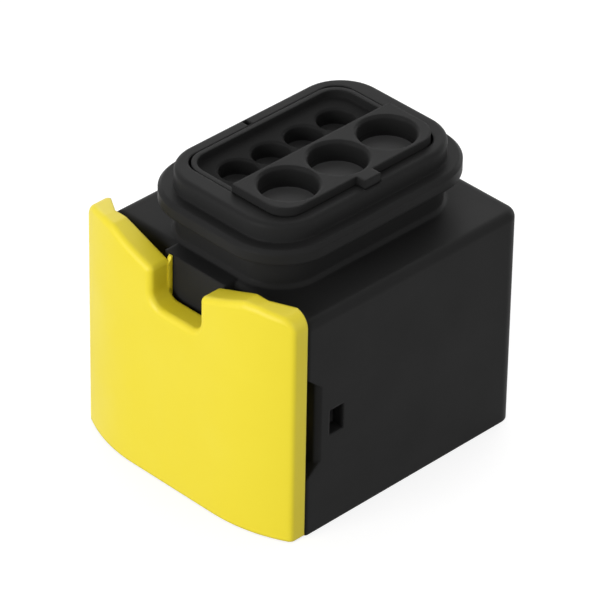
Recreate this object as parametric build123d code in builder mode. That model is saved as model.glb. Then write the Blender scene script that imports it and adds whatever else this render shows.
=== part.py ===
from build123d import *

import os
from math import asin, cos, degrees, pi, radians

os.makedirs("parts", exist_ok=True)

# Sealed seven-way connector housing, standing on its mating rim with the wire side up.
# Sizes are in millimetres. Heights count up from the rim, and the neck's centre line is the
# middle of the wire entries.

# Body shell
body_width = 37.0
body_front = 18.5          # neck centre to the front face
body_back = 21.1           # neck centre to the back face
body_height = 33.7
side_wall = 2.0
back_wall = 2.0
front_wall = 2.7           # thick enough to hold the slide channel
top_wall = 2.0
back_corner_radius = 2.2
front_corner_radius = 0.5
top_edge_radius = 1.2

# Neck: stem, cover flange and ring
stem_length, stem_width, stem_radius = 23.0, 34.2, 6.2
stem_base_chamfer = 0.5
ring_length, ring_width, ring_radius = 23.5, 34.7, 6.4
ring_edge_radius = 0.7
flange_overhang = 2.1
flange_thickness = 2.1
flange_top_chamfer = 0.5
flange_height = 5.0        # body top to the flange's underside
ring_height = 9.85         # body top to the ring's top
ring_bore_radius = 3.0
carrier_gap = 0.1          # all round between the carrier and the ring

# Small mark slot in the ring's top
mark_length, mark_width, mark_depth = 1.1, 0.75, 0.5
mark_x, mark_y = -10.55, -1.5

# Wire entries
large_pitch = 9.05
small_pitch = 6.0
large_rim = 0.9            # platform's flat on each side of the large entries
small_shift = 0.125        # small entries from the middle of the pocket floor, towards the platform
large_entry_radius = 4.0
small_entry_radius = 2.7
large_entry_depth = 3.1
small_entry_depth = 2.4
large_lead_in = 0.35
small_lead_in = 0.25
web = 1.2                  # closed floor under each entry
large_count, small_count = 3, 4

# Carrier
carrier_length, carrier_width, carrier_radius = 19.6, 28.9, 3.6
platform_rise = 1.15       # platform above the ring's top
pocket_depth = 1.2         # pocket floor below the ring's top
pocket_rim = 0.75
pocket_radius = 2.85
key_length, key_width = 1.5, 2.9
key_drop = 0.9             # key below the ring's top
key_gap = 0.12
shoulder_length, shoulder_width, shoulder_height = 31.6, 29.2, 3.0
shoulder_radius = 1.5
seat_gap = 0.05
block_length, block_width, block_radius = 19.4, 27.0, 2.4
block_recess = 6.2         # rim to the contact block's mating face
large_passage = 6.8
small_passage = 4.5
passage_lead_in = 0.4

# Snap lugs on the side walls that hold the carrier's shoulder
lug_width, lug_height, lug_reach = 8.0, 3.0, 0.9
lug_flat = 1.0             # blunt inner side of each lug

# Interface seal
seal_height = 4.6
seal_body = 0.8
seal_lip_reach = 0.6
seal_lip_height = 0.7
seal_lips = 3
seal_bead_reach, seal_bead_height = 0.5, 0.8

# Contact lock
lock_thickness = 1.6
lock_height = 17.0         # rim to the lock's underside
lock_margin_x, lock_margin_y = 0.9, 0.8
lock_gap = 0.1
lock_handle = 1.0

# Slide lock plate
slide_travel = 2.0
plate_length = 39.0
plate_front = 24.1         # neck centre to the plate's front
plate_flat = 15.6
plate_bend_radius = 23.5
plate_wall_back = 20.75
plate_back_gap = 0.15
plate_lift = 0.3           # rim to the plate's lower edge
plate_cheek = 2.0
plate_sill = 1.6
plate_cheek_root = 5.1     # the cheeks thicken towards the plate's wall
plate_edge_radius = 0.9
ear_rise = 2.4             # flat of each ear above the body top
ear_end_rise = 1.5
ear_near, ear_far = 12.3, 14.4   # plate's middle to the ends of that flat
valley_drop = 2.1          # the ears' slopes would meet this far below the body top
notch_width = 9.25
notch_shift = 0.35         # notch's middle against the plate's
notch_depth = 6.1          # body top to the notch floor
notch_floor_radius = 2.0
notch_shoulder_radius = 0.8
ear_radius = 2.4
ear_slope_radius = 1.0

# Slide channel in the front wall, and the rail that runs in it
channel_low, channel_high = 10.5, 23.4
channel_depth = 1.9
lip_thickness = 0.8
lip_height = 2.5
rail_length = 31.8
slide_gap = 0.12
hook_width, hook_height = 2.0, 4.6
hook_offset = 10.0
hook_reach = 0.5           # hook past the front wall's inner face
mouth_length = 2.5         # side recess, where the channel opens
mouth_flare = 1.6
mouth_chamfer = 0.7

# Stop pad that the plate's notch leaves open
pad_left, pad_right = 6.8, 4.6   # neck centre to its two sides
pad_height, pad_proud = 8.8, 1.5
pad_edge_radius = 0.3
fin_thickness, fin_height, fin_slope = 0.65, 6.1, 0.9
fin_inset = 0.15           # fin past the notch's side
fin_gap = 0.12

# Latch window in the right side
window_low, window_high = 14.4, 18.3
window_near, window_far = 11.8, 14.35   # neck centre to its edges, towards the front

# Frame: the origin lies under the middle of the whole box, at the rim
slide_x_from_neck = -slide_travel / 2
low_x = slide_x_from_neck - plate_length / 2
high_x = body_width / 2
neck_x = -(low_x + high_x) / 2
neck_y = (plate_front - body_back) / 2

# Heights from the rim
ring_top = body_height + ring_height
platform_top = ring_top + platform_rise
pocket_floor = ring_top - pocket_depth
flange_low = body_height + flange_height
ceiling = body_height - top_wall
shoulder_top = ceiling - seat_gap
shoulder_low = shoulder_top - shoulder_height
seal_top = shoulder_low - seat_gap
seal_low = seal_top - seal_height

# Rows of the wire entries, counted from the neck centre, and the step between platform and pocket
large_row = carrier_length / 2 - large_rim - large_entry_radius
step_x = large_row - large_entry_radius - large_rim
pocket_x_range = (pocket_rim - carrier_length / 2, step_x)
small_row = sum(pocket_x_range) / 2 + small_shift

neck = Plane((neck_x, neck_y, 0))
front_view = Plane(origin=(neck_x, neck_y, 0), x_dir=(1, 0, 0), z_dir=(0, -1, 0))
side_view = Plane(origin=(neck_x, neck_y, 0), x_dir=(0, 1, 0), z_dir=(1, 0, 0))
slide_x = neck_x + slide_x_from_neck
slide_plan = Plane((slide_x, neck_y, 0))
slide_front = Plane(origin=(slide_x, neck_y, 0), x_dir=(1, 0, 0), z_dir=(0, -1, 0))
slide_side = Plane(origin=(slide_x, neck_y, 0), x_dir=(0, 1, 0), z_dir=(1, 0, 0))


def rounded(plane, length, width, radius):
    """A rounded rectangle centred on the plane's origin."""
    with BuildSketch(plane) as outline:
        RectangleRounded(length, width, radius)
    return outline.sketch


def box_outline(plane, x_range, y_range):
    """A plain rectangle between two places along each axis of the plane."""
    with BuildSketch(plane) as outline:
        with Locations((sum(x_range) / 2, sum(y_range) / 2)):
            Rectangle(abs(x_range[1] - x_range[0]), abs(y_range[1] - y_range[0]))
    return outline.sketch


def at_places(points, places):
    """The points of a sketch that lie at the given places on it."""
    return [point for point in points for place in places
            if abs(point.X - place[0]) < seat_gap and abs(point.Y - place[1]) < seat_gap]


def large_passages(plane, size):
    """The three large square passages, in a row."""
    with BuildSketch(plane) as outline:
        with Locations((large_row, 0)):
            with GridLocations(0, large_pitch, 1, large_count):
                Rectangle(size, size)
    return outline.sketch


def small_passages(plane, size):
    """The four small square passages, in a row."""
    with BuildSketch(plane) as outline:
        with Locations((small_row, 0)):
            with GridLocations(0, small_pitch, 1, small_count):
                Rectangle(size, size)
    return outline.sketch


# Outer housing: the shell, its neck, and the channel for the slide lock
body_middle = (body_back - body_front) / 2
hollow_front = body_front - front_wall
hollow_back = body_back - back_wall
hollow_half = body_width / 2 - side_wall
flange_length = ring_length + 2 * flange_overhang
flange_width = ring_width + 2 * flange_overhang
flange_radius = ring_radius + flange_overhang

with BuildPart() as outer_housing:
    with BuildSketch(neck) as body_outline:
        with Locations((0, body_middle)):
            Rectangle(body_width, body_front + body_back)
        back_corners = body_outline.vertices().group_by(Axis.Y)[-1]
        fillet(back_corners, radius=back_corner_radius)
        front_corners = body_outline.vertices().group_by(Axis.Y)[0]
        fillet(front_corners, radius=front_corner_radius)
    extrude(amount=body_height)
    # Stem of the neck, with a sloped foot
    extrude(rounded(neck.offset(body_height), stem_length, stem_width, stem_radius), amount=flange_height)
    stem_base = outer_housing.edges().filter_by(
        lambda edge: abs(edge.center().Z - body_height) < seat_gap
        and abs(edge.center().Y - neck_y) < stem_width / 2 + seat_gap
        and abs(edge.center().X - neck_x) < stem_length / 2 + seat_gap
    )
    chamfer(stem_base, length=stem_base_chamfer)

    body_top = outer_housing.faces().filter_by(Axis.Z).sort_by(Axis.Z)[-2]
    top_edges = body_top.outer_wire().edges()
    front_top_edge = top_edges.filter_by(Axis.X).sort_by(Axis.Y)[0]
    fillet([edge for edge in top_edges if edge != front_top_edge], radius=top_edge_radius)

    # Stop pad, flush with the body top
    pad_side = (-body_front - pad_proud, -body_front + front_wall / 2)
    extrude(box_outline(neck.offset(body_height - pad_height), (-pad_left, pad_right), pad_side),
            amount=pad_height)
    pad_front = outer_housing.faces().sort_by(Axis.Y)[0]
    fillet(pad_front.edges().filter_by(Axis.Z), radius=pad_edge_radius)

    # Flange and ring
    extrude(rounded(neck.offset(flange_low), flange_length, flange_width, flange_radius),
            amount=flange_thickness)
    flange_top_face = outer_housing.faces().sort_by(Axis.Z)[-1]
    chamfer(flange_top_face.outer_wire().edges(), length=flange_top_chamfer)
    extrude(rounded(neck.offset(flange_low), ring_length, ring_width, ring_radius),
            amount=ring_top - flange_low)
    ring_top_face = outer_housing.faces().sort_by(Axis.Z)[-1]
    fillet(ring_top_face.outer_wire().edges(), radius=ring_edge_radius)

    # Hollow for the mating half, and the neck's bore for the carrier
    extrude(box_outline(neck, (-hollow_half, hollow_half), (-hollow_front, hollow_back)),
            amount=ceiling, mode=Mode.SUBTRACT)
    extrude(rounded(neck.offset(ceiling), carrier_length + 2 * carrier_gap,
                    carrier_width + 2 * carrier_gap, ring_bore_radius),
            amount=ring_top - ceiling, mode=Mode.SUBTRACT)

    # Key notch and mark slot in the ring
    extrude(box_outline(neck.offset(ring_top), (0, carrier_length / 2 + key_length + key_gap),
                        (-key_width / 2 - key_gap, key_width / 2 + key_gap)),
            amount=-key_drop - key_gap, mode=Mode.SUBTRACT)
    extrude(box_outline(neck.offset(ring_top), (mark_x - mark_length / 2, mark_x + mark_length / 2),
                        (mark_y - mark_width / 2, mark_y + mark_width / 2)),
            amount=-mark_depth, mode=Mode.SUBTRACT)

    # Slide channel: narrow between its lips, wide behind them
    extrude(box_outline(side_view.offset(-body_width / 2), (-body_front, -body_front + lip_thickness),
                        (channel_low + lip_height, channel_high - lip_height)),
            amount=body_width, mode=Mode.SUBTRACT)
    extrude(box_outline(side_view.offset(-body_width / 2),
                        (-body_front + lip_thickness, -body_front + channel_depth),
                        (channel_low, channel_high)),
            amount=body_width, mode=Mode.SUBTRACT)

    # Flared recess where the channel opens at each side, with a chamfered edge
    for side in (-1, 1):
        mouth_plane = Plane(origin=(neck_x + side * body_width / 2, neck_y, 0),
                            x_dir=(0, side, 0), z_dir=(side, 0, 0))
        with BuildSketch(mouth_plane) as mouth:
            with BuildLine():
                Polyline(
                    (-side * body_front, channel_low - mouth_flare),
                    (-side * (body_front - channel_depth), channel_low),
                    (-side * (body_front - channel_depth), channel_high),
                    (-side * body_front, channel_high + mouth_flare),
                    close=True,
                )
            make_face()
        extrude(amount=-mouth_length, mode=Mode.SUBTRACT)
    mouth_edges = outer_housing.edges().filter_by(
        lambda edge: abs(abs(edge.center().X - neck_x) - body_width / 2) < seat_gap
        and abs(edge.center().Y - neck_y + body_front - channel_depth) < seat_gap
        and channel_low < edge.center().Z < channel_high
    )
    chamfer(mouth_edges, length=mouth_chamfer)

    # Slots for the slide lock's two hooks
    hook_half = hook_width / 2 + slide_travel / 2 + slide_gap
    for side in (-1, 1):
        extrude(box_outline(front_view.offset(hollow_front - seat_gap),
                            (side * hook_offset - hook_half, side * hook_offset + hook_half),
                            ((channel_low + channel_high - hook_height) / 2 - slide_gap,
                             (channel_low + channel_high + hook_height) / 2 + slide_gap)),
                amount=front_wall, mode=Mode.SUBTRACT)

    # Latch window
    extrude(box_outline(side_view.offset(body_width / 2 - side_wall - seat_gap),
                        (-window_far, -window_near), (window_low, window_high)),
            amount=side_wall + 2 * seat_gap, mode=Mode.SUBTRACT)

    # Snap lugs under the carrier's shoulder
    for side in (-1, 1):
        with BuildSketch(front_view.offset(-lug_width / 2)):
            with BuildLine():
                Polyline(
                    (side * hollow_half, shoulder_low - seat_gap),
                    (side * (hollow_half - lug_reach), shoulder_low - seat_gap),
                    (side * (hollow_half - lug_reach), shoulder_low - lug_flat),
                    (side * hollow_half, shoulder_low - lug_height),
                    close=True,
                )
            make_face()
        extrude(amount=lug_width)

outer_housing.part.label = "outer_housing"
export_step(outer_housing.part, "parts/outer_housing.step")

# Contact carrier: the insert that holds the contacts, seated against the ceiling
wall_beside_passages = block_length / 2 - large_row - large_passage / 2
wall_past_passages = block_width / 2 - large_pitch - large_passage / 2
block_corner = min(block_radius, wall_beside_passages + wall_past_passages)
mouth_lead_in = min(passage_lead_in, wall_beside_passages / 2, wall_past_passages / 2)
lock_low = lock_height - lock_gap
lock_room = lock_thickness + 2 * lock_gap
lock_x_range = (-block_length / 2, block_length / 2 - lock_margin_x)
lock_y_half = block_width / 2 - lock_margin_y

with BuildPart() as contact_carrier:
    extrude(rounded(neck.offset(block_recess), block_length, block_width, block_corner),
            amount=shoulder_low - block_recess)
    extrude(rounded(neck.offset(shoulder_low), shoulder_length, shoulder_width, shoulder_radius),
            amount=shoulder_height)
    extrude(rounded(neck.offset(shoulder_top), carrier_length, carrier_width, carrier_radius),
            amount=platform_top - shoulder_top)
    # The pocket side stays at the ring's level
    extrude(box_outline(neck.offset(ring_top), (-carrier_length, step_x), (-carrier_width, carrier_width)),
            amount=platform_rise, mode=Mode.SUBTRACT)
    with BuildSketch(neck.offset(ring_top)) as pocket:
        RectangleRounded(carrier_length - 2 * pocket_rim, carrier_width - 2 * pocket_rim, pocket_radius)
        with Locations((step_x + carrier_length / 2, 0)):
            Rectangle(carrier_length, carrier_width, mode=Mode.SUBTRACT)
    extrude(amount=-pocket_depth, mode=Mode.SUBTRACT)

    # Key tab on the platform's outer edge
    extrude(box_outline(neck.offset(ring_top - key_drop), (0, carrier_length / 2 + key_length),
                        (-key_width / 2, key_width / 2)),
            amount=key_drop + platform_rise)

    # Round wire entries, three from the platform and four from the pocket floor
    with BuildSketch(neck.offset(platform_top)) as large_entries:
        with Locations((large_row, 0)):
            with GridLocations(0, large_pitch, 1, large_count):
                Circle(large_entry_radius)
    extrude(amount=-large_entry_depth, mode=Mode.SUBTRACT)
    with BuildSketch(neck.offset(pocket_floor)) as small_entries:
        with Locations((small_row, 0)):
            with GridLocations(0, small_pitch, 1, small_count):
                Circle(small_entry_radius)
    extrude(amount=-small_entry_depth, mode=Mode.SUBTRACT)
    for rim_height, rim_radius, lead_in in ((platform_top, large_entry_radius, large_lead_in),
                                            (pocket_floor, small_entry_radius, small_lead_in)):
        rims = contact_carrier.edges().filter_by(GeomType.CIRCLE).filter_by(
            lambda edge: abs(edge.center().Z - rim_height) < seat_gap
            and abs(edge.length - 2 * pi * rim_radius) < seat_gap
        )
        chamfer(rims, length=lead_in)

    # Contact passages up from the mating face to the closed webs, each with a lead-in
    mating_face = neck.offset(block_recess)
    extrude(large_passages(mating_face, large_passage),
            amount=platform_top - large_entry_depth - web - block_recess, mode=Mode.SUBTRACT)
    extrude(small_passages(mating_face, small_passage),
            amount=pocket_floor - small_entry_depth - web - block_recess, mode=Mode.SUBTRACT)
    passage_mouths = contact_carrier.faces().sort_by(Axis.Z)[0].inner_wires().edges()
    chamfer(passage_mouths, length=mouth_lead_in)

    # Slot for the contact lock, open on the small contacts' side
    extrude(box_outline(neck.offset(lock_low), (lock_x_range[0] - lock_gap, lock_x_range[1] + lock_gap),
                        (-lock_y_half - lock_gap, lock_y_half + lock_gap)),
            amount=lock_room, mode=Mode.SUBTRACT)

    # Bead that keeps the interface seal up against the shoulder
    with BuildSketch(neck.offset(seal_low - seat_gap)) as seal_bead:
        RectangleRounded(block_length + 2 * seal_bead_reach, block_width + 2 * seal_bead_reach,
                         block_corner + seal_bead_reach)
        RectangleRounded(block_length, block_width, block_corner, mode=Mode.SUBTRACT)
    extrude(amount=-seal_bead_height)

contact_carrier.part.label = "contact_carrier"
export_step(contact_carrier.part, "parts/contact_carrier.step")

# Contact lock: a comb plate with a window for each contact
with BuildPart() as contact_lock:
    extrude(box_outline(neck.offset(lock_height), (lock_x_range[0] - lock_handle, lock_x_range[1]),
                        (-lock_y_half, lock_y_half)),
            amount=lock_thickness)
    extrude(large_passages(neck.offset(lock_height), large_passage), amount=lock_thickness,
            mode=Mode.SUBTRACT)
    extrude(small_passages(neck.offset(lock_height), small_passage), amount=lock_thickness,
            mode=Mode.SUBTRACT)

contact_lock.part.label = "contact_lock"
export_step(contact_lock.part, "parts/contact_lock.step")

# Interface seal: a ring round the contact block with three lips
seal_inner = (block_length + 2 * seat_gap, block_width + 2 * seat_gap, block_corner + seat_gap)
lip_reach = seal_body + seal_lip_reach
last_lip = seal_lips - 1
lip_pitch = (seal_height - seal_lip_height) / last_lip

with BuildPart() as interface_seal:
    extrude(rounded(neck.offset(seal_low), seal_inner[0] + 2 * seal_body, seal_inner[1] + 2 * seal_body,
                    seal_inner[2] + seal_body),
            amount=seal_height)
    for lip in range(seal_lips):
        extrude(rounded(neck.offset(seal_low + lip * lip_pitch), seal_inner[0] + 2 * lip_reach,
                        seal_inner[1] + 2 * lip_reach, seal_inner[2] + lip_reach),
                amount=seal_lip_height)
    extrude(rounded(neck.offset(seal_low), *seal_inner), amount=seal_height, mode=Mode.SUBTRACT)

interface_seal.part.label = "interface_seal"
export_step(interface_seal.part, "parts/interface_seal.step")

# Slide lock: the curved plate, its notch, and the rail and hooks behind it
plate_back = body_front + plate_back_gap
plate_half = plate_length / 2
plate_top = body_height + ear_rise
notch_floor = body_height - notch_depth
ear_slope = (ear_rise + valley_drop) / ear_near
ear_ends = [(side * plate_half, body_height + ear_end_rise) for side in (-1, 1)]
slope_ends = [(side * ear_near, body_height + ear_rise) for side in (-1, 1)]
notch_sides = (notch_shift - notch_width / 2, notch_shift + notch_width / 2)
notch_floor_ends = [(side, notch_floor) for side in notch_sides]
notch_shoulders = [(side, body_height - valley_drop + abs(side) * ear_slope) for side in notch_sides]
seam_x = plate_flat / 2     # where the flat meets the bends
bend_angle = degrees(asin((plate_half - seam_x) / plate_bend_radius))
steepest_normal = cos(radians(bend_angle))
rail_web = (channel_low + lip_height + slide_gap, channel_high - lip_height - slide_gap)
rail_head = (channel_low + slide_gap, channel_high - slide_gap)
rail_head_front = body_front - lip_thickness - slide_gap
rail_head_back = body_front - channel_depth + slide_gap
hook_back = hollow_front - hook_reach
hook_middle = (channel_low + channel_high) / 2

with BuildPart() as slide_lock:
    # Plan: flat in the middle, bent back towards both ends
    with BuildSketch(slide_plan.offset(plate_lift)) as plate_plan:
        with BuildLine():
            middle = Line((0, -plate_front), (seam_x, -plate_front))
            bend = JernArc(middle @ 1, middle % 1, plate_bend_radius, bend_angle)
            end = Line(bend @ 1, (plate_half, -plate_back))
            Line(end @ 1, (0, -plate_back))
            mirror(about=Plane.YZ)
        make_face()
    extrude(amount=plate_top - plate_lift)

    # Front view: ears at both ends that fall away to the notch
    with BuildSketch(slide_front) as plate_front_view:
        with BuildLine():
            Polyline(
                (0, plate_lift),
                (plate_half, plate_lift),
                (plate_half, body_height + ear_end_rise),
                (ear_far, body_height + ear_rise),
                (ear_near, body_height + ear_rise),
                (0, body_height - valley_drop),
            )
            mirror(about=Plane.YZ)
        make_face()
        with Locations((notch_shift, notch_floor)):
            Rectangle(notch_width, plate_top - notch_floor,
                      align=(Align.CENTER, Align.MIN), mode=Mode.SUBTRACT)
        for places, radius in ((ear_ends, ear_radius),
                               (slope_ends, ear_slope_radius),
                               (notch_floor_ends, notch_floor_radius),
                               (notch_shoulders, notch_shoulder_radius)):
            fillet(at_places(plate_front_view.vertices(), places), radius=radius)
    extrude(amount=plate_front + plate_sill, mode=Mode.INTERSECT)

    # Rounded front edges all round the face, apart from the straight lower one
    front_faces = slide_lock.faces().filter_by(lambda face: face.normal_at().Y < -steepest_normal / 2)
    front_outline = front_faces.edges().filter_by(
        lambda edge: edge.center().Z > plate_lift + seat_gap
        and abs(abs(edge.center().X - slide_x) - seam_x) > seat_gap
    )
    fillet(front_outline, radius=plate_edge_radius)

    # Hollow behind the wall, between two cheeks that are thick at their roots, and above the sill
    with BuildSketch(slide_plan.offset(plate_lift + plate_sill)):
        with BuildLine():
            Polyline(
                (0, -plate_wall_back),
                (plate_half - plate_cheek_root, -plate_wall_back),
                (plate_half - plate_cheek, -plate_back),
                (plate_half - plate_cheek, -body_front),
                (0, -body_front),
            )
            mirror(about=Plane.YZ)
        make_face()
    extrude(amount=plate_top, mode=Mode.SUBTRACT)

    # Rail: a web through the lips and a wider head behind them
    extrude(box_outline(slide_side.offset(-rail_length / 2), (-plate_wall_back, -rail_head_back), rail_web),
            amount=rail_length)
    extrude(box_outline(slide_side.offset(-rail_length / 2), (-rail_head_front, -rail_head_back), rail_head),
            amount=rail_length)
    for side in (-1, 1):
        extrude(box_outline(slide_front.offset(hook_back),
                            (side * hook_offset - hook_width / 2, side * hook_offset + hook_width / 2),
                            (hook_middle - hook_height / 2, hook_middle + hook_height / 2)),
                amount=rail_head_back - hook_back)

    # Thin pointed fin behind the notch's left edge, in front of the stop pad
    with BuildSketch(slide_side.offset(notch_sides[0] + fin_inset - fin_thickness)):
        with BuildLine():
            Polyline(
                (-plate_wall_back - seat_gap, notch_floor),
                (-body_front - pad_proud - fin_gap, notch_floor),
                (-body_front - pad_proud - fin_gap, notch_floor + fin_height),
                (-plate_wall_back - seat_gap, notch_floor + fin_height - fin_slope),
                close=True,
            )
        make_face()
    extrude(amount=fin_thickness)

slide_lock.part.label = "slide_lock"
export_step(slide_lock.part, "parts/slide_lock.step")
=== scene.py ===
# %% [markdown]
# # A sealed connector housing
# The object is a black moulded connector housing with a yellow slide lock. Every piece was built
# as a solid beforehand, and it arrives here as a fixed frame. What is left for Blender is what the
# eye judges: the finish of each moulding, the soft rubber ring inside, and the light.

# %% Load the frame
import math

import bpy
from mathutils import Matrix, Vector


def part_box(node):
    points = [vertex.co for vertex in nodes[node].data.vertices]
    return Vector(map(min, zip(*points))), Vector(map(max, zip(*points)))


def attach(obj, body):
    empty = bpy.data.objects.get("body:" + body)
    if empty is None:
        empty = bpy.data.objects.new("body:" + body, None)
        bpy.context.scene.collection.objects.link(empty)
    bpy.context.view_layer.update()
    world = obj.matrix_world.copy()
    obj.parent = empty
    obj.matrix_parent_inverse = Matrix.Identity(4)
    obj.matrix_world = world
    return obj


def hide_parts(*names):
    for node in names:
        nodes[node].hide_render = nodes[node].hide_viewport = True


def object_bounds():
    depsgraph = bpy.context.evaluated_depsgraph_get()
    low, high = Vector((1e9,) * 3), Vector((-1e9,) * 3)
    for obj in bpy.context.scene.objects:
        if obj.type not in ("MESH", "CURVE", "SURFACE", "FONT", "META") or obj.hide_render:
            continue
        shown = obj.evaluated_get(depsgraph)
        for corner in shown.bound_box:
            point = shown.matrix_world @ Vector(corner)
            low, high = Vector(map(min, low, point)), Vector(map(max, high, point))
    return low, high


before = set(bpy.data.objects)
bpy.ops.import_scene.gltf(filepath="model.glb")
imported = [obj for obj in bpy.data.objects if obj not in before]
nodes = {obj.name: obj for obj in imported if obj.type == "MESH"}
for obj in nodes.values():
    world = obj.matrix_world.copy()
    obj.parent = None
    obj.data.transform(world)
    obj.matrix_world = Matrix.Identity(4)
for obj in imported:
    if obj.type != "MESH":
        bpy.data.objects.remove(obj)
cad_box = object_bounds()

MM = 0.001
print("nodes:", sorted(nodes))
print("box in mm:", [[round(value / MM, 2) for value in corner] for corner in cad_box])

# %% [markdown]
# ## Colour and node helpers
# Colours are written as people pick them, as sRGB hex values. Shaders work in linear light, so one
# function turns the first into the second. A second function adds a node, sets what it is told and
# joins its inputs, which keeps each material below short enough to read in one go. Textures are
# scaled in features per metre, so a third turns a real size in millimetres into that.

# %% Helpers for materials
SRGB_KNEE = 0.04045        # below this the sRGB curve is a straight line


def linear(hex_colour):
    """The linear colour of an sRGB hex value, with full opacity."""
    channels = [int(hex_colour[place:place + 2], 16) / 255 for place in (1, 3, 5)]
    return tuple(
        value / 12.92 if value <= SRGB_KNEE else ((value + 0.055) / 1.055) ** 2.4
        for value in channels
    ) + (1.0,)


def add_node(tree, kind, settings=None, inputs=None):
    """Adds one node; an input may be a plain value or another node's output socket."""
    node = tree.nodes.new(kind)
    for name, value in (settings or {}).items():
        setattr(node, name, value)
    for name, value in (inputs or {}).items():
        if isinstance(value, bpy.types.NodeSocket):
            tree.links.new(value, node.inputs[name])
        else:
            node.inputs[name].default_value = value
    return node


def new_material(name):
    """An empty material, its tree and its output node."""
    material = bpy.data.materials.new(name)
    material.use_nodes = True
    tree = material.node_tree
    tree.nodes.clear()
    return material, tree, add_node(tree, "ShaderNodeOutputMaterial")


def per_metre(size_mm):
    """The scale of a texture whose features are this many millimetres apart."""
    return 1 / (size_mm * MM)


print("mid grey in linear light:", round(linear("#808080")[0], 3))

# %% [markdown]
# ## Moulded plastic
# Housings of this kind are injection moulded in glass-filled polyester. The steel of the mould is
# spark eroded, which leaves a grain of a few hundredths of a millimetre. That is too fine for the
# picture, so it is drawn about five times as coarse. Slow flow marks change the gloss and the tone
# a little over the part, and handling leaves faint rubs that run up and down. A mould has no sharp
# inner corners, so the shading of every edge is rounded a little, without a change of shape. In the
# textures, Detail is how many finer layers they have, and Roughness is how strong those are.

# %% Recipe for moulded plastic
GRAIN_MM, FLOW_MM, RUB_MM = 0.22, 9.0, 1.6
RUB_STRETCH = 0.12         # a rub is about eight times as long as it is wide
EDGE_MM = 0.45
NOISE_LOW, NOISE_HIGH = 0.3, 0.7     # nearly all of a noise texture's values lie between these
EDGE_SAMPLES = 4


def moulded_plastic(name, colour, shade, roughness, specular, roughness_spread=0.04,
                    grain_depth_mm=0.005):
    """Plastic whose tone wanders from colour to shade, and whose gloss wanders about roughness."""
    material, tree, output = new_material(name)
    place = add_node(tree, "ShaderNodeTexCoord").outputs["Object"]
    flow = add_node(tree, "ShaderNodeTexNoise", {}, {
        "Vector": place, "Scale": per_metre(FLOW_MM), "Detail": 3.0, "Roughness": 0.55})
    grain = add_node(tree, "ShaderNodeTexNoise", {}, {
        "Vector": place, "Scale": per_metre(GRAIN_MM), "Detail": 2.0, "Roughness": 0.6})
    rub_place = add_node(tree, "ShaderNodeMapping", {}, {
        "Vector": place, "Scale": (1.0, 1.0, RUB_STRETCH)})
    rubs = add_node(tree, "ShaderNodeTexNoise", {}, {
        "Vector": rub_place.outputs["Vector"], "Scale": per_metre(RUB_MM), "Detail": 4.0,
        "Roughness": 0.7})
    tone = add_node(tree, "ShaderNodeMix", {"data_type": "RGBA"}, {
        "Factor": flow.outputs["Fac"], "A": linear(colour), "B": linear(shade)})
    flow_gloss = add_node(tree, "ShaderNodeMapRange", {}, {
        "Value": flow.outputs["Fac"], "From Min": NOISE_LOW, "From Max": NOISE_HIGH,
        "To Min": roughness - roughness_spread, "To Max": roughness + roughness_spread})
    gloss = add_node(tree, "ShaderNodeMath", {"operation": "MULTIPLY_ADD"}, {
        0: rubs.outputs["Fac"], 1: roughness_spread, 2: flow_gloss.outputs["Result"]})
    soft_edge = add_node(tree, "ShaderNodeBevel", {"samples": EDGE_SAMPLES}, {
        "Radius": EDGE_MM * MM})
    bump = add_node(tree, "ShaderNodeBump", {}, {
        "Height": grain.outputs["Fac"], "Distance": grain_depth_mm * MM, "Strength": 1.0,
        "Normal": soft_edge.outputs["Normal"]})
    shader = add_node(tree, "ShaderNodeBsdfPrincipled", {}, {
        "Base Color": tone.outputs["Result"], "Roughness": gloss.outputs["Value"],
        "Normal": bump.outputs["Normal"], "Specular IOR Level": specular})
    tree.links.new(shader.outputs["BSDF"], output.inputs["Surface"])
    return material


print("one grain of the plastic:", GRAIN_MM, "mm, drawn at", round(per_metre(GRAIN_MM)), "per metre")

# %% [markdown]
# ## Four plastics
# The shell and the carrier are the same black polyester. It is matte, and its faces show next to
# nothing of the white room round them, so the specular level is far below the usual 0.5. Without
# that the black would read as grey. The slide lock is coloured through in yellow, so that an open
# lock is seen at once, and a satin mould gives it a soft sheen. The contact lock is left in the
# natural off-white of the polyester.

# %% Make the plastics
matte_black = {"colour": "#272727", "shade": "#232323", "roughness": 0.42, "specular": 0.05}
black_polyester = moulded_plastic("black glass-filled polyester, spark eroded", **matte_black)
carrier_polyester = moulded_plastic("black carrier polyester, fine grain", **matte_black)
yellow_polyester = moulded_plastic(
    "yellow polyester, satin moulded", "#F3E02E", "#F0DB28", roughness=0.45, specular=0.50)
natural_polyester = moulded_plastic(
    "natural polyester, plain moulded", "#E6E2D3", "#DDD8C6", roughness=0.38, specular=0.40,
    grain_depth_mm=0.004)
for plastic in (black_polyester, carrier_polyester, yellow_polyester, natural_polyester):
    print(plastic.name, "has", len(plastic.node_tree.nodes), "nodes")
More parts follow.
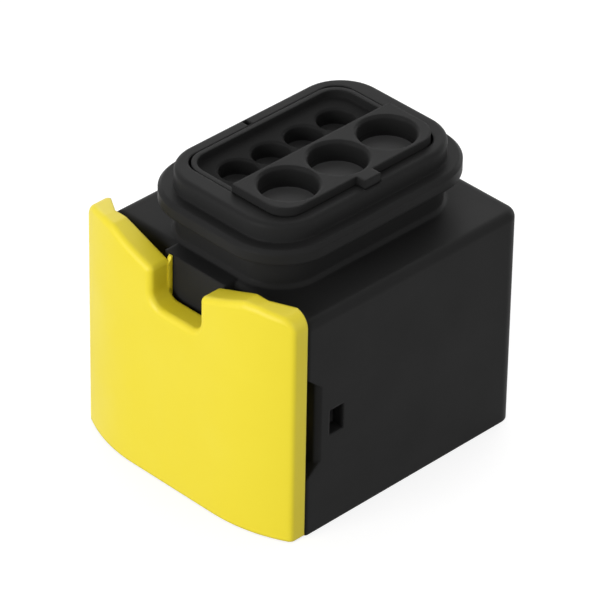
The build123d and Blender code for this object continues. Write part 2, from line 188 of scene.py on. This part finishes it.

# %% [markdown]
# ## Floors of the pocket and the wire entries
# The carrier's top is grained like the shell. The floor of the pocket round the small entries is
# coarser, which makes it duller. The wire entries seem less deep in the photo than in the solid, so
# their floors catch more light there. The solid stays as it is, and light is painted onto the floors
# instead: a paler base colour stands in for the light the deeper floors lose. Each floor lies at a
# height of its own, so masks by height, and by which way a face looks, find them without a second
# mesh.

# %% Dull the pocket floor
POCKET_MM, POCKET_BAND_MM = 42.35, 0.15      # height of the floor above the rim, and the mask's reach
POCKET_ROUGHER = 0.35
carrier_tree = carrier_polyester.node_tree
carrier_shader = carrier_tree.nodes["Principled BSDF"]
carrier_place = add_node(carrier_tree, "ShaderNodeTexCoord").outputs["Object"]
carrier_height = add_node(carrier_tree, "ShaderNodeSeparateXYZ", {}, {
    "Vector": carrier_place}).outputs["Z"]
in_pocket = add_node(carrier_tree, "ShaderNodeMath", {"operation": "COMPARE"}, {
    0: carrier_height, 1: POCKET_MM * MM, 2: POCKET_BAND_MM * MM})
plain_gloss = carrier_shader.inputs["Roughness"].links[0].from_socket
pocket_gloss = add_node(carrier_tree, "ShaderNodeMath", {"operation": "MULTIPLY_ADD"}, {
    0: in_pocket.outputs["Value"], 1: POCKET_ROUGHER, 2: plain_gloss})
carrier_tree.links.new(pocket_gloss.outputs["Value"], carrier_shader.inputs["Roughness"])
print("the pocket floor at", POCKET_MM, "mm is rougher by", POCKET_ROUGHER)

# %% Paint light onto the entry floors
# The pale tone is painted light. It brightens the entry floors in place of the light their depth
# keeps out, fully on the large floors and less on the small ones.
ENTRY_FLOOR_BELOW_MM = 41.9
SMALL_FLOOR_MM, LARGE_FLOOR_MM = 39.95, 41.60
SMALL_FLOOR_SHARE, LARGE_FLOOR_SHARE = 0.40, 1.0     # how far each goes towards the pale tone
LOOKS_UP = 0.5             # height of a face's normal, above which it counts as a floor
PAINTED_LIGHT_TONE = "#5C5C5C"
facing = add_node(carrier_tree, "ShaderNodeNewGeometry").outputs["Normal"]
facing_up = add_node(carrier_tree, "ShaderNodeSeparateXYZ", {}, {"Vector": facing}).outputs["Z"]
deep_enough = add_node(carrier_tree, "ShaderNodeMath", {"operation": "LESS_THAN"}, {
    0: carrier_height, 1: ENTRY_FLOOR_BELOW_MM * MM})
level_enough = add_node(carrier_tree, "ShaderNodeMath", {"operation": "GREATER_THAN"}, {
    0: facing_up, 1: LOOKS_UP})
painted_light_share = add_node(carrier_tree, "ShaderNodeMapRange", {}, {
    "Value": carrier_height, "From Min": SMALL_FLOOR_MM * MM, "From Max": LARGE_FLOOR_MM * MM,
    "To Min": SMALL_FLOOR_SHARE, "To Max": LARGE_FLOOR_SHARE})
entry_floor = add_node(carrier_tree, "ShaderNodeMath", {"operation": "MULTIPLY"}, {
    0: deep_enough.outputs["Value"], 1: level_enough.outputs["Value"]})
on_floor = add_node(carrier_tree, "ShaderNodeMath", {"operation": "MULTIPLY"}, {
    0: entry_floor.outputs["Value"], 1: painted_light_share.outputs["Result"]})
plain_tone = carrier_shader.inputs["Base Color"].links[0].from_socket
# Painted light: the base colour of the entry floors is mixed towards the pale tone.
painted_floor_light = add_node(carrier_tree, "ShaderNodeMix", {"data_type": "RGBA"}, {
    "Factor": on_floor.outputs["Value"], "A": plain_tone, "B": linear(PAINTED_LIGHT_TONE)})
carrier_tree.links.new(painted_floor_light.outputs["Result"], carrier_shader.inputs["Base Color"])
print("entry floors lie below", ENTRY_FLOOR_BELOW_MM, "mm; carrier nodes:", len(carrier_tree.nodes))

# %% [markdown]
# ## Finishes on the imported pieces
# Four of the five pieces keep the mesh that came with the frame, because their solids already have
# the right shape. They only need a better material, which takes the place of the plain one.

# %% Put the finishes on
finish_of = {
    "outer_housing": black_polyester,
    "contact_carrier": carrier_polyester,
    "slide_lock": yellow_polyester,
    "contact_lock": natural_polyester,
}
for name, material in finish_of.items():
    piece = nodes[name]
    piece.data.materials.clear()
    piece.data.materials.append(material)
    print(name, "has", len(piece.data.polygons), "triangles of", material.name)

# %% [markdown]
# ## Silicone rubber
# The interface seal is liquid silicone rubber, cured in a polished mould. Some of its oil comes to
# the surface and makes it slide on the mating half, so it shines in patches. The rubber lets a
# little light in, which softens its shadows. Its colour can't be seen in the photo: orange is a
# common one for such seals.

# %% Silicone material
SPECKLE_MM, SKIN_MM = 0.8, 0.25
SKIN_DEPTH_MM = 0.004
OILY_ROUGHNESS, DRY_ROUGHNESS = 0.32, 0.50
LIGHT_SHARE, LIGHT_DEPTH_MM = 0.15, 0.4      # how much light goes in, and how far
silicone, silicone_tree, silicone_output = new_material("orange silicone rubber, oiled")
silicone_place = add_node(silicone_tree, "ShaderNodeTexCoord").outputs["Object"]
speckle = add_node(silicone_tree, "ShaderNodeTexNoise", {}, {
    "Vector": silicone_place, "Scale": per_metre(SPECKLE_MM), "Detail": 3.0})
skin = add_node(silicone_tree, "ShaderNodeTexNoise", {}, {
    "Vector": silicone_place, "Scale": per_metre(SKIN_MM), "Detail": 2.0})
silicone_tone = add_node(silicone_tree, "ShaderNodeMix", {"data_type": "RGBA"}, {
    "Factor": speckle.outputs["Fac"], "A": linear("#C8642C"), "B": linear("#B65420")})
silicone_gloss = add_node(silicone_tree, "ShaderNodeMapRange", {}, {
    "Value": speckle.outputs["Fac"], "From Min": NOISE_LOW, "From Max": NOISE_HIGH,
    "To Min": OILY_ROUGHNESS, "To Max": DRY_ROUGHNESS})
silicone_bump = add_node(silicone_tree, "ShaderNodeBump", {}, {
    "Height": skin.outputs["Fac"], "Distance": SKIN_DEPTH_MM * MM})
silicone_shader = add_node(silicone_tree, "ShaderNodeBsdfPrincipled", {}, {
    "Base Color": silicone_tone.outputs["Result"], "Roughness": silicone_gloss.outputs["Result"],
    "Normal": silicone_bump.outputs["Normal"], "Subsurface Weight": LIGHT_SHARE,
    "Subsurface Scale": LIGHT_DEPTH_MM * MM})
silicone_tree.links.new(silicone_shader.outputs["BSDF"], silicone_output.inputs["Surface"])
print(silicone.name, "has", len(silicone_tree.nodes), "nodes")

# %% [markdown]
# ## Interface seal
# A ring of soft silicone hugs the contact block and seals against the mating half. It is moulded in
# one piece with round lips on its outside. It could be modelled by hand from a ring of faces, but
# its lips repeat, so a node tree sweeps one section round a rounded rectangle. The lips follow a
# cosine wave along the section, so their number, reach and height are plain inputs.

# %% Inputs of the ring's tree
ring_tree = bpy.data.node_groups.new("ribbed_ring", "GeometryNodeTree")
ring_tree.interface.new_socket("Geometry", in_out="OUTPUT", socket_type="NodeSocketGeometry")
for socket_name in ("Path Length", "Path Width", "Corner Radius", "Body", "Height", "Lip Reach",
                    "Lip Height", "Lip Gaps"):
    ring_tree.interface.new_socket(socket_name, in_out="INPUT", socket_type="NodeSocketFloat")
given = add_node(ring_tree, "NodeGroupInput").outputs
print("inputs of the ring:", [socket.name for socket in given if socket.name])

# %% Path of the ring, and its plain section
CORNER_POINTS = 14
SECTION_POINTS = 96
path_square = add_node(ring_tree, "GeometryNodeCurvePrimitiveQuadrilateral", {}, {
    "Width": given["Path Length"], "Height": given["Path Width"]})
path_round = add_node(ring_tree, "GeometryNodeFilletCurve", {"mode": "POLY"}, {
    "Curve": path_square.outputs["Curve"], "Radius": given["Corner Radius"],
    "Count": CORNER_POINTS})
section_square = add_node(ring_tree, "GeometryNodeCurvePrimitiveQuadrilateral", {}, {
    "Width": given["Body"], "Height": given["Height"]})
section_fine = add_node(ring_tree, "GeometryNodeResampleCurve", {}, {
    "Curve": section_square.outputs["Curve"], "Count": SECTION_POINTS})
section_place = add_node(ring_tree, "ShaderNodeSeparateXYZ", {}, {
    "Vector": add_node(ring_tree, "GeometryNodeInputPosition").outputs["Position"]}).outputs
print("points:", CORNER_POINTS, "round a corner,", SECTION_POINTS, "round the section")

# %% [markdown]
# The lips are one sum, worked out for each point of the section. A cosine that peaks at each lip is
# squared, which narrows the crests and widens the grooves between them. It only pushes points on
# the outer side, since the inner side hugs the block. Each row below becomes one node: its name,
# what it does, and what it takes, which is a number or the name of an earlier value.

# %% Push the lips out of the section
amounts = {socket.name: socket for socket in given if socket.name}
amounts.update({"across": section_place["X"], "along": section_place["Y"]})
for name, operation, *terms in (
    ("lip room", "SUBTRACT", "Height", "Lip Height"),
    ("pitch", "DIVIDE", "lip room", "Lip Gaps"),
    ("top lip", "DIVIDE", "lip room", 2.0),
    ("from top lip", "SUBTRACT", "along", "top lip"),
    ("turns", "DIVIDE", "from top lip", "pitch"),
    ("angle", "MULTIPLY", "turns", 2 * math.pi),
    ("wave", "COSINE", "angle"),
    ("hump", "MULTIPLY_ADD", "wave", 0.5, 0.5),
    ("crest", "POWER", "hump", 2.0),
    ("side", "DIVIDE", "across", "Body"),
    ("outer side", "MAXIMUM", "side", 0.0),
    ("outwards", "MULTIPLY", "outer side", 2.0),
    ("reach", "MULTIPLY", "Lip Reach", "outwards"),
    ("lip", "MULTIPLY", "crest", "reach"),
):
    step = add_node(ring_tree, "ShaderNodeMath", {"operation": operation, "label": name}, {
        place: amounts.get(term, term) for place, term in enumerate(terms)})
    amounts[name] = step.outputs["Value"]
lip_offset = add_node(ring_tree, "ShaderNodeCombineXYZ", {}, {"X": amounts["lip"]})
section = add_node(ring_tree, "GeometryNodeSetPosition", {}, {
    "Geometry": section_fine.outputs["Curve"], "Offset": lip_offset.outputs["Vector"]})
print("values in the sum:", len(amounts))

# %% Sweep the section and coat it
swept = add_node(ring_tree, "GeometryNodeCurveToMesh", {}, {
    "Curve": path_round.outputs["Curve"], "Profile Curve": section.outputs["Geometry"]})
real = add_node(ring_tree, "GeometryNodeRealizeInstances", {}, {"Geometry": swept.outputs["Mesh"]})
coated = add_node(ring_tree, "GeometryNodeSetMaterial", {}, {
    "Geometry": real.outputs["Geometry"], "Material": silicone})
add_node(ring_tree, "NodeGroupOutput", {}, {"Geometry": coated.outputs["Geometry"]})
print("ring tree nodes:", len(ring_tree.nodes))

# %% [markdown]
# A tree only shows its result on an object that carries it. The helper below gives it to an empty
# mesh for a moment, takes the finished faces, and moves them to their place inside the mesh itself,
# so that the piece sits at the origin like the rest.

# %% Helper that grows a piece
def grow(name, tree, values, place):
    """A plain mesh grown by a node tree, with its place kept in the mesh."""
    source = bpy.data.objects.new(name + "_source", bpy.data.meshes.new(name + "_source"))
    bpy.context.scene.collection.objects.link(source)
    modifier = source.modifiers.new("tree", "NODES")
    modifier.node_group = tree
    for item in tree.interface.items_tree:
        if item.in_out == "INPUT":
            modifier[item.identifier] = values[item.name]
    depsgraph = bpy.context.evaluated_depsgraph_get()
    mesh = bpy.data.meshes.new_from_object(source.evaluated_get(depsgraph))
    bpy.data.objects.remove(source)
    mesh.name = name
    mesh.transform(Matrix.Translation(place))
    piece = bpy.data.objects.new(name, mesh)
    bpy.context.scene.collection.objects.link(piece)
    print(name, "has", len(mesh.polygons), "faces")
    return piece


# %% [markdown]
# The ring takes the place of the plain solid ring in the frame, so its outer size is read from that
# node. Its lips end where the solid ends, which keeps the picture and the solid the same size.

# %% Grow the seal
SEAL_BODY_MM, SEAL_REACH_MM, SEAL_LIP_MM, SEAL_LIPS = 0.80, 0.60, 0.70, 3
SEAL_CORNER_MM = 2.45
seal_low, seal_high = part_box("interface_seal")
seal_size = seal_high - seal_low
seal_middle = (seal_low + seal_high) / 2
sunk = 2 * (SEAL_REACH_MM + SEAL_BODY_MM / 2) * MM       # the path runs inside the outer size
seal = grow("seal_ring", ring_tree, {
    "Path Length": seal_size.x - sunk, "Path Width": seal_size.y - sunk,
    "Corner Radius": (SEAL_CORNER_MM + SEAL_BODY_MM / 2) * MM, "Body": SEAL_BODY_MM * MM,
    "Height": seal_size.z, "Lip Reach": SEAL_REACH_MM * MM, "Lip Height": SEAL_LIP_MM * MM,
    "Lip Gaps": SEAL_LIPS - 1}, seal_middle)
for polygon in seal.data.polygons:
    polygon.use_smooth = True
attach(seal, "housing")
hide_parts("interface_seal")
seal_corners = [vertex.co for vertex in seal.data.vertices]
for axis, letter in enumerate("xyz"):
    grown = [extreme(corner[axis] for corner in seal_corners) for extreme in (min, max)]
    print("seal", letter, "in mm:", [round(value / MM, 3) for value in grown],
          "solid:", [round(corner[axis] / MM, 3) for corner in (seal_low, seal_high)])

# %% [markdown]
# ## Camera
# The photograph was measured: straight edges and circles of the object gave the direction, the
# distance and the field of view. The camera looks down on the corner between the yellow front and
# the right side, from far away through a long lens, which keeps the edges almost parallel. It is
# placed from the top of the neck, above the middle of the seal, since the neck was measured best.

# %% Directions of the view
VIEW_AZIMUTH = math.radians(44.917)
VIEW_ELEVATION = math.radians(34.434)
VIEW_ROLL = math.radians(0.987)
sin_a, cos_a = math.sin(VIEW_AZIMUTH), math.cos(VIEW_AZIMUTH)
sin_e, cos_e = math.sin(VIEW_ELEVATION), math.cos(VIEW_ELEVATION)
back = Vector((sin_a * cos_e, -cos_a * cos_e, sin_e))
level_back = Vector((sin_a, -cos_a, 0))
level_right = Vector((cos_a, sin_a, 0))
level_up = back.cross(level_right)
cos_r, sin_r = math.cos(VIEW_ROLL), math.sin(VIEW_ROLL)
right = cos_r * level_right + sin_r * level_up
up = cos_r * level_up - sin_r * level_right
print("the camera looks along", [round(-value, 3) for value in back])

# %% Camera
VIEW_DISTANCE = 670.751 * MM
IMAGE_SIDE = 600           # pixels
FOCAL_PIXELS = 5129.858
SENSOR_MM = 36.0
AIM_LEFT = 1.508 * MM      # aim point beside and below the neck's top centre
AIM_BELOW = 20.568 * MM
FAR_CLIP = 10
neck_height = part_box("contact_carrier")[1].z
neck_top = Vector((seal_middle.x, seal_middle.y, neck_height))
eye = neck_top - AIM_LEFT * right - AIM_BELOW * up + VIEW_DISTANCE * back
camera_data = bpy.data.cameras.new("camera")
camera_data.sensor_width = SENSOR_MM
camera_data.lens = FOCAL_PIXELS / IMAGE_SIDE * SENSOR_MM
camera_data.clip_end = FAR_CLIP
camera = bpy.data.objects.new("camera", camera_data)
camera.matrix_world = Matrix.Translation(eye) @ Matrix((right, up, back)).transposed().to_4x4()
bpy.context.scene.collection.objects.link(camera)
bpy.context.scene.camera = camera
print("lens in mm:", round(camera_data.lens, 1), "eye:", [round(value, 3) for value in eye])

# %% [markdown]
# ## Sky
# The room is an even grey that fills the shadows. A product picture has a white background, though,
# so the rays that look at the room find white: those of the camera, and those that come off a gloss
# or through something clear. The light that falls on the part stays at its plain level.

# %% World
SKY_LEVEL = 0.38


def looking_rays(tree):
    """A socket that is 1 for rays that look at the background, and 0 for those that light it."""
    path = add_node(tree, "ShaderNodeLightPath").outputs
    camera_or_glass = add_node(tree, "ShaderNodeMath", {"operation": "MAXIMUM"}, {
        0: path["Is Camera Ray"], 1: path["Is Transmission Ray"]})
    return add_node(tree, "ShaderNodeMath", {"operation": "MAXIMUM"}, {
        0: camera_or_glass.outputs["Value"], 1: path["Is Glossy Ray"]}).outputs["Value"]


world = bpy.data.worlds.new("studio")
world.use_nodes = True
sky = world.node_tree
sky.nodes.clear()
sky_output = add_node(sky, "ShaderNodeOutputWorld")
level = add_node(sky, "ShaderNodeMapRange", {}, {
    "Value": looking_rays(sky), "To Min": SKY_LEVEL, "To Max": 1.0})
background = add_node(sky, "ShaderNodeBackground", {}, {
    "Color": (1.0, 1.0, 1.0, 1.0), "Strength": level.outputs["Result"]})
sky.links.new(background.outputs["Background"], sky_output.inputs["Surface"])
bpy.context.scene.world = world
print("the sky lights with", SKY_LEVEL, "and looks like 1")

# %% [markdown]
# ## Lamps
# Product pictures of this kind use large soft lights. One lamp in front and to the left lights the
# yellow plate, and a weaker one at the right lifts the right side. A broad one above and behind
# gives the top faces their sheen, and a small one behind and to the right draws a thin bright line
# on the round edges there. A lamp's brightness is that of its face, where 1 is the white of the
# background, so its power follows from its size.

# %% Lamps
LAMPS = {                  # steps to the right, up and to the viewer, side in metres, brightness
    "front_lamp": (-0.45, 0.15, 0.42, 0.40, 6.35),
    "right_lamp": (0.50, 0.20, 0.35, 0.50, 1.2),
    "back_lamp": (0.0, 0.42, -0.55, 0.80, 1.2),
    "rim_lamp": (0.55, 0.10, -0.50, 0.25, 3.0),
}
part_middle = (Vector(cad_box[0]) + Vector(cad_box[1])) / 2
for name, (to_right, to_top, to_viewer, side, brightness) in LAMPS.items():
    data = bpy.data.lights.new(name, "AREA")
    data.shape = "SQUARE"
    data.size = side
    data.energy = brightness * math.pi * side ** 2
    lamp = bpy.data.objects.new(name, data)
    offset = to_right * level_right + to_top * Vector((0, 0, 1)) + to_viewer * level_back
    lamp.location = part_middle + offset
    lamp.rotation_euler = offset.to_track_quat("Z", "Y").to_euler()
    bpy.context.scene.collection.objects.link(lamp)
    print(name, "gives", round(data.energy, 2), "watts from", round(offset.length, 2), "metres")

# %% [markdown]
# ## Floor
# The floor is pale, and rays that look at it find it lifted to white, while it keeps the shadow of
# the part. Rays that only light the part find a grey floor, so its bounce stays weak. The real part
# can be picked up and turned, so the floor is made clear from beneath, and it is open under the
# hollow, where light then reaches the mating side.

# %% Floor mesh
FLOOR_SIDE = 3.0
FLOOR_Z = -0.01 * MM       # a hair under the rim, so the two faces don't share a plane
RIM_MIDDLE = 1.0 * MM      # the opening ends under the middle of the shell's rim
PAD_PROUD = 1.5 * MM       # the front pad stands this far out from the shell's front wall
shell_low, shell_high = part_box("outer_housing")
half = FLOOR_SIDE / 2
open_low = Vector((shell_low.x + RIM_MIDDLE, shell_low.y + PAD_PROUD + RIM_MIDDLE))
open_high = Vector((shell_high.x - RIM_MIDDLE, shell_high.y - RIM_MIDDLE))
outer_ring = [(-half, -half), (half, -half), (half, half), (-half, half)]
inner_ring = [(open_low.x, open_low.y), (open_high.x, open_low.y),
              (open_high.x, open_high.y), (open_low.x, open_high.y)]
floor_mesh = bpy.data.meshes.new("floor")
floor_mesh.from_pydata(
    [(x, y, FLOOR_Z) for x, y in outer_ring + inner_ring], [],
    [(side, (side + 1) % 4, 4 + (side + 1) % 4, 4 + side) for side in range(4)])
floor = bpy.data.objects.new("floor", floor_mesh)
bpy.context.scene.collection.objects.link(floor)
print("opening under the hollow in mm:", [round(value / MM, 1) for value in open_high - open_low])

# %% Floor material
FLOOR_GLOW = 0.74
LIT_FLOOR, SEEN_FLOOR = "#8A8A8A", "#B4B4B4"     # the glow lifts the second one to white
floor_material, floor_tree, floor_output = new_material("white studio floor")
floor_plain = add_node(floor_tree, "ShaderNodeBsdfDiffuse", {}, {"Color": linear(LIT_FLOOR)})
floor_dim = add_node(floor_tree, "ShaderNodeBsdfDiffuse", {}, {"Color": linear(SEEN_FLOOR)})
floor_glow = add_node(floor_tree, "ShaderNodeEmission", {}, {"Strength": FLOOR_GLOW})
floor_seen = add_node(floor_tree, "ShaderNodeAddShader", {}, {
    0: floor_dim.outputs["BSDF"], 1: floor_glow.outputs["Emission"]})
floor_top = add_node(floor_tree, "ShaderNodeMixShader", {}, {
    0: looking_rays(floor_tree), 1: floor_plain.outputs["BSDF"], 2: floor_seen.outputs["Shader"]})
floor_beneath = add_node(floor_tree, "ShaderNodeNewGeometry").outputs["Backfacing"]
floor_clear = add_node(floor_tree, "ShaderNodeBsdfTransparent")
floor_shader = add_node(floor_tree, "ShaderNodeMixShader", {}, {
    0: floor_beneath, 1: floor_top.outputs["Shader"], 2: floor_clear.outputs["BSDF"]})
floor_tree.links.new(floor_shader.outputs["Shader"], floor_output.inputs["Surface"])
floor_mesh.materials.append(floor_material)
print(floor_material.name, "has", len(floor_tree.nodes), "nodes")

# %% [markdown]
# ## Colours as written
# The Standard view shows a colour as it is written when the light on it is 1, which is how the
# colours above were matched.

# %% Colour view
bpy.context.scene.view_settings.view_transform = "Standard"
